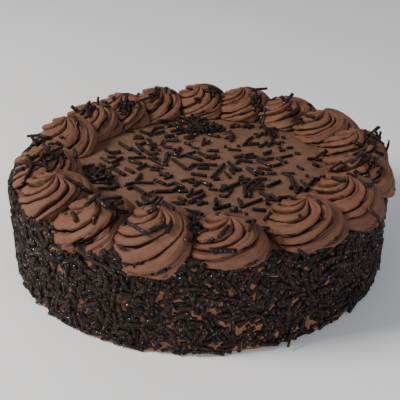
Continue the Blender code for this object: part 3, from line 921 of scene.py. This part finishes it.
# The two ends of each strand that can be told apart on the top, in pixels as above.
SEEN_ON_TOP = (
    (119.3, 142.7, 130.2, 149.8), (104.8, 149.3, 110.6, 152.7), (111.4, 152.7, 120.6, 151.4),
    (106.8, 156.8, 116, 156.8), (101, 157.7, 109.3, 162.7), (111.8, 162.7, 122.7, 157.3),
    (108.5, 168.5, 118.9, 162.7), (96, 168.5, 105.2, 165.6), (114.8, 168.9, 124.8, 175.2),
    (125.6, 168.5, 133.5, 172.7), (137.7, 168.9, 146, 163.9), (146, 164.3, 153.5, 168),
    (150.2, 169.3, 159.3, 170.2), (153.5, 166, 162.7, 167.7), (127.7, 157.7, 146, 157.2),
    (129.3, 160.2, 141, 163.5), (148.9, 158, 157.7, 161.8), (156, 161.4, 167.3, 165.2),
    (153.5, 156, 156.8, 159.3), (165.2, 161.8, 166.8, 153.5), (167.7, 152.7, 178, 155.2),
    (173.1, 150.2, 176, 149.3), (176, 153.5, 180.2, 148), (177.7, 157.2, 195.2, 151.4),
    (186, 154.8, 201.4, 160.2), (198.5, 152.3, 206.8, 156.4), (205.2, 156.8, 216, 156),
    (172.7, 159.3, 186.4, 168.9), (187.3, 168.9, 193.1, 164.3), (192.7, 164.3, 206, 164.5),
    (205.2, 164.5, 217, 165), (197.3, 167.3, 209.3, 167.7), (191.4, 173.5, 206.4, 176),
    (181, 180.6, 194.3, 178.9), (187.7, 181, 197.7, 182.7), (193.9, 186, 201.8, 181),
    (201, 181.8, 211, 185.2), (187.7, 196.4, 192.3, 189.3), (192.7, 193.9, 202.3, 190.2),
    (189.3, 202.7, 204.3, 194.3), (196, 200.2, 207.3, 203.1), (197.3, 204.3, 202.7, 202.7),
    (178.5, 197.7, 185.6, 200.6), (171.4, 202.7, 185.2, 203.5), (163.9, 202.3, 173.5, 208.9),
    (178, 191.4, 188.1, 191.4), (155.2, 191.4, 173.5, 191), (172.7, 190.6, 178.5, 186.8),
    (174.8, 182.7, 183.5, 187.7), (166, 185.6, 175.2, 182.7), (154.3, 179.8, 165.2, 184.3),
    (134.8, 182.3, 153.5, 182.7), (123.9, 184.8, 135.2, 182.3), (127.7, 188.5, 132.7, 186.8),
    (132.7, 186, 146, 194.3), (136, 180.2, 141, 173.5), (137.7, 177.7, 142.7, 178.1),
    (158.9, 174.3, 169.3, 173.5), (159.8, 172.7, 171, 176.8), (164.3, 178.5, 172.7, 175.6),
    (142.7, 196.8, 147.7, 204.3), (146, 196, 153.5, 191), (149.3, 192.7, 156, 198.5),
    (150.2, 203.5, 157.7, 196.8), (155.2, 204.8, 161.8, 197.7), (146, 200.2, 151, 204.3),
    (114.3, 180.2, 118.5, 186.8), (111.4, 189.3, 117.7, 185.2), (132.7, 138, 144.3, 138),
    (134.3, 135.6, 141.8, 136), (149.3, 135.6, 155.2, 127.7), (154.3, 127.7, 164.3, 126.8),
    (140.2, 131, 149.3, 133.9), (154.3, 133.9, 164.3, 131), (147.5, 139, 150.5, 140.5),
    (150.2, 140.2, 151.8, 150.2), (147.7, 143.5, 156, 144.3), (136.4, 143.5, 142.7, 151),
    (137.7, 145.2, 145.2, 142.3), (131.4, 147.7, 140.2, 154.3), (142.7, 148.5, 149.3, 154.3),
    (149.3, 154.3, 158.5, 153), (157.3, 149.8, 160.6, 150.2), (152.5, 146, 156.5, 147),
    (161, 144.8, 163.5, 140.2), (163.5, 146.4, 171.8, 147.7), (164.3, 136, 174.3, 135.6),
    (165.6, 140.2, 178.5, 140.6), (172.7, 138.5, 178.5, 139.8), (184.8, 142.7, 190.2, 144.8),
    (191, 146.8, 198.9, 148.5), (202.3, 145.6, 204.3, 138), (206, 143.5, 209.8, 140.6),
    (206.8, 150.2, 218.9, 150.8), (211.8, 159.3, 216, 154.5), (158.9, 121, 168.5, 121.4),
    (168.5, 123, 175.2, 124.3), (167.7, 126.8, 173.5, 124.3), (179.8, 122.3, 179.3, 126.8),
    (171, 131.4, 184.3, 128.5), (176, 133.9, 185.2, 131.4), (184.3, 137.3, 195.2, 135.6),
    (96, 177.7, 111, 177.7), (96, 182.7, 111.8, 182.7), (97.7, 187.7, 112.7, 188.5),
    (126.4, 131, 133.5, 131.8), (206, 156.2, 220.2, 157.4), (208.9, 180.3, 226.8, 161.2),
    (213, 179, 219.8, 178.7), (229.8, 168.7, 233.5, 173.7), (228.5, 162, 236, 170.3),
    (236, 168.7, 241.4, 169.9), (225.2, 172, 229.8, 177.8), (223.9, 146.6, 227.3, 146.6),
    (228, 149, 241, 150.2), (236.8, 145.8, 240.2, 145.8), (224.8, 137.8, 235.2, 136.6),
    (230.6, 131.2, 231.4, 141.2), (243.9, 145.3, 248.5, 139.5), (248, 140, 252.7, 137),
    (248, 144, 259.3, 143.5), (231, 125.3, 239.3, 126.6), (236.8, 124.5, 245.2, 126.2),
    (242.7, 127, 253.9, 125.8), (231, 127.8, 235.2, 124.5), (246, 122.8, 249.3, 127.8),
    (258.9, 127.8, 264.3, 124.9), (253.5, 134, 257.7, 133.7), (256.8, 137, 262.7, 132.8),
    (263.5, 128.7, 275.2, 127.8), (264.3, 135.3, 267.7, 128.7), (268, 129.5, 272.7, 140.3),
    (272.7, 129.5, 275.2, 137), (259.3, 147, 266.8, 142), (267.7, 146.2, 272.7, 141.2),
    (271.8, 142, 280.2, 144), (279.8, 141.6, 283.9, 142.4), (281.4, 137, 285.2, 137.4),
    (278.5, 147, 284.8, 150.3), (279.8, 146.6, 281, 151.2), (286.4, 147.8, 293, 147.4),
    (294.8, 152.8, 299.8, 153.7), (263.5, 153.7, 271, 151.2), (234.3, 157, 245.2, 155.3),
    (241, 154.5, 246.8, 157.4), (246, 154.5, 253.5, 153.7), (246.8, 157.4, 256.4, 156.6),
    (239.3, 159.9, 252.3, 162), (236.4, 163.7, 239.3, 158.7), (256.4, 156.6, 266, 159.5),
    (264.3, 159.9, 269.3, 159.5), (267.7, 158.7, 273.5, 157.8), (257.3, 159.9, 271, 166.2),
    (257.7, 167.8, 271, 169.9), (246.8, 167.8, 256, 174.9), (249.3, 168.7, 263.5, 173.7),
    (267.3, 173.3, 276.4, 173.3), (276.8, 157.8, 286.4, 162.8), (280.2, 157.4, 292.3, 154.9),
    (273.5, 165.8, 281.4, 163.7), (297.3, 166.2, 303, 169.5), (306, 175.2, 308, 175.6),
    (307.3, 158.7, 316.8, 158.3), (315.2, 159.5, 321.4, 160.3), (316.8, 157, 326, 150.3),
    (313.5, 163.7, 318, 166.2), (321, 176.2, 324.8, 176.6), (281.4, 172.8, 294.8, 173.3),
    (285.2, 173.3, 291, 177), (290.6, 177, 294.3, 187), (293.5, 185.3, 297.7, 193.7),
    (290.2, 188.3, 294.3, 182.8), (297.7, 187, 302.7, 188.7), (296, 192, 301, 187),
    (301, 180.3, 308, 188.7), (303.5, 189.9, 308.5, 187.8), (309.8, 184.5, 314.3, 178.2),
    (313.5, 178.2, 320.2, 178.7), (288, 196.2, 294.8, 198.3), (260.2, 192, 271, 197.8),
    (266, 198.7, 281.4, 200.8), (267.3, 186.2, 280.2, 180.8), (238, 179.5, 250.2, 178.7),
    (239.3, 177.4, 243.5, 176.6), (241.8, 182.8, 247.7, 181.2), (256, 178.7, 266.8, 178.7),
    (249.3, 182.8, 256, 179.5), (249.3, 190.8, 261, 180.3), (253.5, 181.2, 260.2, 182),
    (246.8, 187, 249.3, 182.8), (257.7, 188.7, 264.3, 189), (259.3, 187, 263.5, 185.3),
    (244.8, 185.3, 245.2, 196.6), (247.7, 195.3, 251.4, 193.7), (248.5, 191.2, 250.2, 197),
    (219.8, 190.3, 239.3, 182.8), (221, 185.8, 226.8, 186.2), (226, 197, 231.8, 188.3),
    (219.3, 195.3, 226, 196.6), (208.9, 188.7, 216.8, 189.9), (206, 185.3, 211, 184),
    (216, 199, 216.4, 205.3), (213.5, 209, 230.2, 204.5), (238.5, 198.7, 241, 205.3),
    (240.2, 207, 261.8, 199), (252.3, 208.7, 266, 210.3), (216.8, 125.8, 222.7, 125.8),
    (215.2, 129.9, 223.5, 130.3),
)


def fallen(draw, place):
    """A strand that fell on the heap at a place on the top."""
    length = draw.uniform(*TOP_LENGTHS)
    tilt = draw.gauss(0, PILE_TILT)
    along = around(math.cos(tilt), draw.uniform(0, math.pi), math.sin(tilt))
    limit = TOP_REACH - length * 0.4
    if place.length > limit:
        place = place * limit / place.length
    height = COAT_HEIGHT + FALLEN_LIFT + draw.uniform(0, PILE_HEIGHT)
    height += abs(math.sin(tilt)) * length * 0.3
    middle = Vector((place.x, place.y, height)) + Vector(RING_PLACE)
    return strand(draw, middle, along, Vector((0, 0, 1)), length)


draw = random.Random(5)
top = [lying(draw, *ends, draw.uniform(*TOP_LIFTS)) for ends in SEEN_ON_TOP]
for angle, distance, radius, count in HEAPS:
    for number in range(count):
        aside = around(abs(draw.gauss(0, radius / 2)), draw.uniform(0, 2 * math.pi))
        top.append(fallen(draw, around(distance, math.radians(angle)) + aside))
lay_strands("top_strands", top, 8, 5)


# More strands fell on the swirls, where each lies over the bands that it met or stands in the cream. They
# are loose dark chocolate too, thickest on the swirls at the left and the back.
ROOT = 0.003
HEAPED_PIXELS = (3.5, 8.0)
HEAPED_LIFT = 0.0012
# The two ends of each strand that can be told apart on the swirls, in pixels as above.
SEEN_ON_SWIRLS = (
    (128, 222.5, 146.6, 233.4), (148.5, 230.8, 154.8, 228.3), (156, 228.3, 166.3, 225),
    (171.4, 221.3, 167.6, 232.7), (122.3, 225, 126.8, 220.6), (147.2, 212.3, 157.4, 207.9),
    (163.8, 202, 172.7, 209), (189.3, 215.5, 193, 222.5), (188, 224.4, 197, 234.6),
    (197, 233.4, 208.4, 229.5), (185.5, 239, 191.8, 241), (228.8, 225.7, 218.6, 237.2),
    (208.4, 242.3, 213.5, 238.5), (209.7, 250, 237.1, 251.2), (246.7, 221.9, 255, 220.6),
    (253, 220, 249.2, 230.8), (260.7, 228.3, 268.4, 228.3), (263.3, 220.6, 270.9, 211.7),
    (72.3, 212.5, 76.1, 220.8), (94.6, 215, 93.3, 224), (101.6, 199, 121.4, 197.2),
    (101.6, 204.8, 123.3, 202.9), (86.3, 204.8, 99, 194.6), (117, 211.2, 128.4, 212.5),
    (64, 176, 92.7, 194), (32.8, 165.3, 22.6, 184.4), (32.3, 145, 41.4, 141), (42, 153.5, 47.7, 171.8),
    (28.8, 159, 39.3, 155), (48.4, 144.4, 53.3, 143.7), (56, 142.3, 60.4, 144.4),
    (47.7, 153.5, 61.8, 147.2), (43.5, 143.7, 46.3, 154.2), (54, 159, 62.5, 152), (61.8, 152.8, 66, 158.4),
    (74.4, 149.3, 76.5, 157.7), (15.4, 171, 23.2, 168.2), (74.4, 117, 78, 124.7), (59.6, 136.7, 63.2, 137),
    (39.3, 136, 48.4, 137.7), (71.2, 106.3, 77, 110.7), (86.8, 104.5, 90.4, 100.9),
    (102, 101.3, 106.4, 102.2), (103.8, 106.3, 110, 106.3), (90.4, 106.3, 88.6, 113.4),
    (124.3, 93.8, 126, 100), (122.5, 100.9, 118.9, 111.6), (119.8, 112.9, 127, 113.8),
    (136.8, 101.8, 155.5, 95.1), (148.4, 94.6, 153.8, 92.9), (135.9, 96.4, 139.5, 92.9),
    (170.7, 91, 176, 92.9), (187.6, 88.4, 191.6, 88.8), (209.5, 86, 210.8, 89.3), (218.4, 92, 223.8, 97.3),
    (194.3, 99, 199.2, 98.7), (197, 102.7, 200, 102.2), (250.5, 89.7, 267.5, 88.4),
    (255.9, 90.2, 255.9, 98.2), (251.4, 98.2, 260.4, 97.3), (252.3, 104.5, 255, 111.6),
    (258.6, 107, 264.8, 105.4), (259.5, 123.2, 265.7, 108), (272, 99.6, 276.4, 97.3),
    (287, 109.8, 291.6, 108.9), (293.4, 116, 301.4, 118.8), (297, 125, 301.4, 119.6),
    (306.8, 116, 313.9, 117), (307.7, 103.7, 311.7, 105.5), (372, 135.4, 383.6, 143.9),
    (371, 143, 375.5, 143), (374.6, 151, 383.6, 154.6), (352.8, 141.7, 362, 145.3),
    (354, 154.6, 365.3, 149.7), (361.3, 154.6, 371, 156.4), (359.5, 165.4, 368.4, 158.2),
    (369.3, 164.5, 378.2, 157.8), (378.2, 172.5, 383.6, 168), (354, 170.7, 359.5, 174.3),
    (347.9, 173.4, 356.8, 176.5), (363.9, 175.6, 369.3, 175.2), (330, 168.9, 341.6, 161.3),
    (337, 169.4, 346.5, 164.9), (364.8, 185, 374.2, 184), (369.3, 209, 378.7, 217),
    (331.8, 177.9, 345.2, 180.5), (299, 214.5, 301, 217.5), (318, 219.5, 322.5, 217.5),
    (317, 200.5, 321, 203.5),
)
# Heaps on the swirls: the place of the middle, the spread, all in pixels, and the number of strands.
SWIRL_HEAPS = (
    (108, 202, 9, 7), (49, 155, 9, 6), (32, 160, 7, 2), (30, 137, 8, 2), (372, 140, 9, 3),
    (366, 160, 11, 3), (257, 100, 7, 3), (213, 91, 6, 3), (193, 224, 5, 3), (127, 102, 9, 5),
    (88, 108, 9, 3), (158, 95, 8, 2), (292, 112, 8, 1),
)
# How far below the foot of a standing strand the cream is looked for, in pixels.
BELOW_FOOT = range(2, 20)
# Strands that stand in the cream: the places of the foot and of the top, in pixels.
SEEN_STANDING = (
    (97.9, 102.2, 98.4, 94.6), (166, 90.6, 166.7, 84.8), (159, 90, 158.2, 86.6),
    (284.5, 100.4, 279.6, 94.2), (287.3, 100.4, 294.3, 92), (367.9, 141.3, 363.9, 127),
    (380, 134.6, 381.3, 129.2), (388, 145.7, 390.7, 137.7), (113.6, 98, 113.6, 94.5),
)

draw = random.Random(29)
scattered = [lying(draw, *ends) for ends in SEEN_ON_SWIRLS]
for across, down, spread, count in SWIRL_HEAPS:
    for number in range(count):
        heading = around(draw.uniform(*HEAPED_PIXELS), draw.uniform(0, math.pi))
        place = Vector((draw.gauss(across, spread / 2), draw.gauss(down, spread / 3), 0))
        lift = draw.uniform(0, HEAPED_LIFT)
        scattered.append(lying(draw, *(place - heading).xy, *(place + heading).xy, lift))
for x0, y0, x1, y1 in SEEN_STANDING:
    depth = next(found[0] for found in (depth_at(x0, y0 + lower) for lower in BELOW_FOOT) if found)
    foot = camera.location + sight(x0, y0) * depth
    way = camera.location + sight(x1, y1) * depth - foot
    foot -= way.normalized() * ROOT
    scattered.append(strand(draw, foot + way / 2, way, Vector((0, 1, 0)), way.length + ROOT))
lay_strands("swirl_strands", [item for item in scattered if item], 8, 5)
